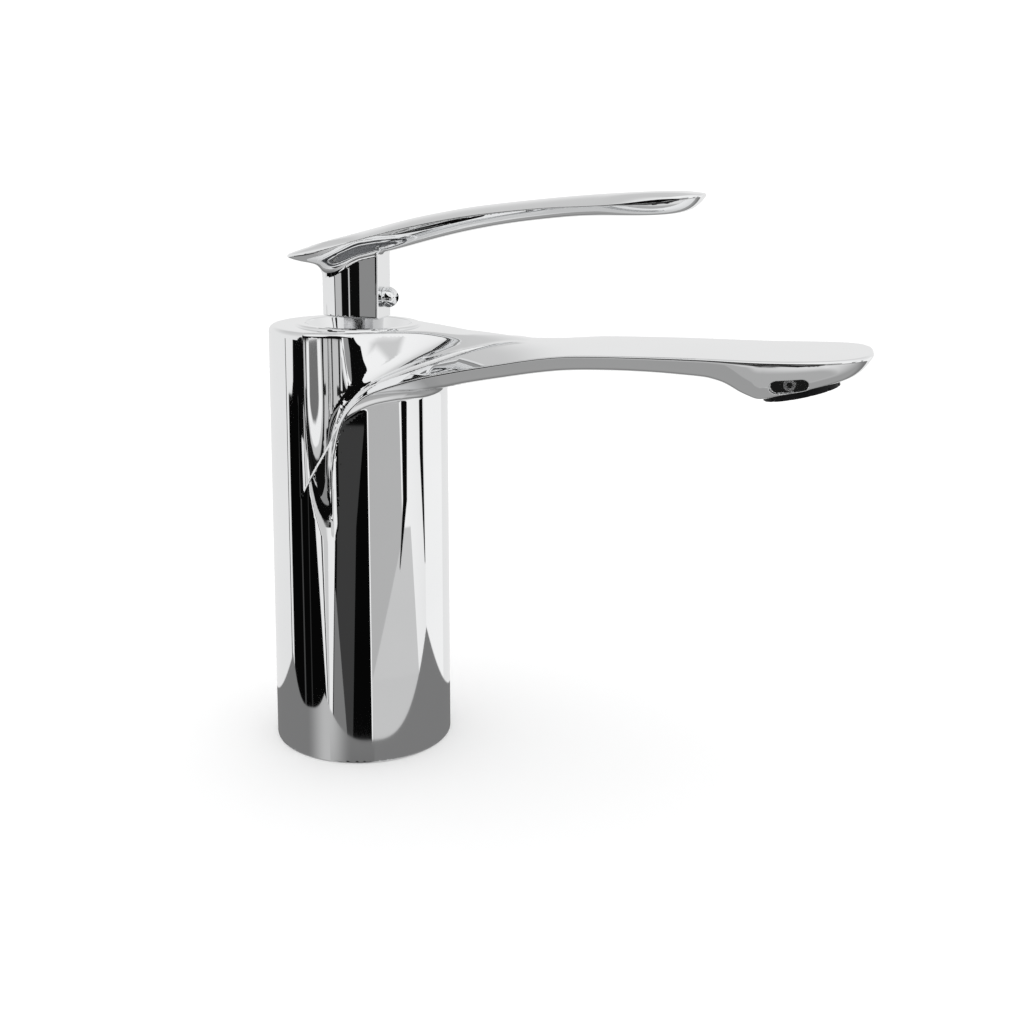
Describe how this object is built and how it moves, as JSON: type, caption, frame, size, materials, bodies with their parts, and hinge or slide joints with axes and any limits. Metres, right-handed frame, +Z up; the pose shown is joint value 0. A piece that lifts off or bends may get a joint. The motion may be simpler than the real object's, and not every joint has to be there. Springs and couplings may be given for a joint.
{
  "type": "bathroom mixer faucet",
  "caption": "Single-lever basin mixer: round column, long flat cantilever spout with a tilted aerator, arched lever over a ceramic cartridge.",
  "frame": {"origin": "centre of the column's base, on the plane that rests on the basin", "axes": "+Z up the column, +X along the spout, +Y to the left of the spout seen from behind the column; the XZ plane is the middle plane"},
  "size_m": [0.1584, 0.05, 0.1533],
  "materials": {
    "chrome_body": "polished chrome plate on brass",
    "chrome_lever": "polished chrome plate on zinc",
    "chrome_cap": "polished chrome plate on brass",
    "chrome_plug": "polished chrome plate",
    "stainless": "turned stainless steel",
    "mesh_steel": "woven wire",
    "white_plastic": "moulded acetal",
    "grey_plastic": "moulded acetal",
    "black_plastic": "moulded, satin",
    "ceramic": "lapped alumina",
    "rubber": "moulded"
  },
  "bodies": {
    "root": {"body": "chrome_body", "cap_ring": "chrome_cap", "cartridge_nut": "chrome_cap", "cartridge_housing": "white_plastic", "temperature_limit_ring": "grey_plastic", "cartridge_base": "white_plastic", "port_seals": "rubber", "disc_seals": "rubber", "housing_oring": "rubber", "fixed_disc": "ceramic", "aerator_housing": "black_plastic", "aerator_insert": "grey_plastic", "aerator_mesh": "mesh_steel", "aerator_washer": "rubber", "aerator_lock_screw": "stainless", "base_gasket": "rubber"},
    "carrier": {"swivel_carrier": "grey_plastic", "carrier_washer": "white_plastic", "pivot_pin": "stainless"},
    "lever": {"lever": "chrome_lever", "spindle": "stainless", "spindle_adaptor": "white_plastic", "set_screw": "stainless", "index_plug": "chrome_plug"},
    "disc": {"moving_disc": "ceramic", "disc_driver": "white_plastic"}
  },
  "joints": [
    {"name": "temperature_turn", "type": "hinge", "parent": "root", "child": "carrier", "pos_m": [0, 0, 0.111], "axis": [0, 0, 1], "range_deg": [-50, 50]},
    {"name": "lever_lift", "type": "hinge", "parent": "carrier", "child": "lever", "pos_m": [0, 0, 0.111], "axis": [0, -1, 0], "range_deg": [0, 22]},
    {"name": "disc_slide", "type": "slide", "parent": "carrier", "child": "disc", "axis": [1, 0, 0], "range_m": [-0.0005, 0.0055]}
  ],
  "couplings": [
    {"joint": "disc_slide", "follows": "lever_lift", "m_per_rad": 0.01282}
  ]
}
